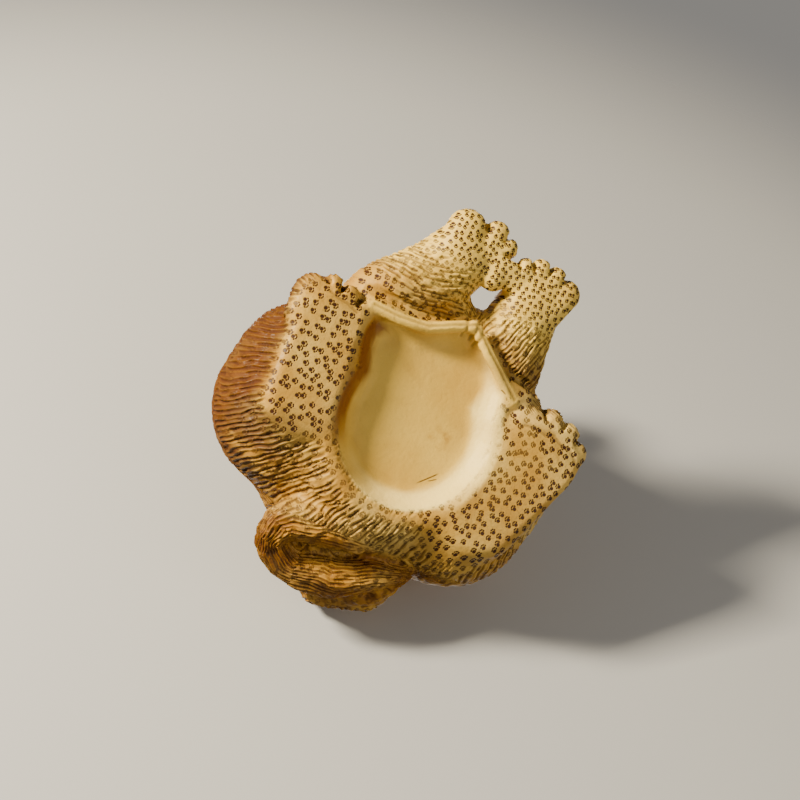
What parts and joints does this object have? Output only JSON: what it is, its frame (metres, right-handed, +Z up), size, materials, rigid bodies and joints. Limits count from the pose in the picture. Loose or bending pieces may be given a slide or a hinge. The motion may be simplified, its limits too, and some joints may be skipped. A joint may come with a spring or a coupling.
{
  "type": "bamboo root puppy carving",
  "caption": "Small puppy carved from one bamboo root base, lying on its belly with its head up and its bushy tail curled, standing on its flat soles.",
  "frame": {"origin": "middle of the bounding box, on the plane that the soles stand on", "axes": "+Z up, +Y towards the tail, so the puppy faces -Y, and +X on its left side"},
  "size_m": [0.0752, 0.0872, 0.0568],
  "materials": {
    "bamboo_root": "satin, rubbed and waxed, with dark fibre bundle dots"
  },
  "bodies": {
    "root": {"puppy": "bamboo_root"}
  },
  "joints": []
}
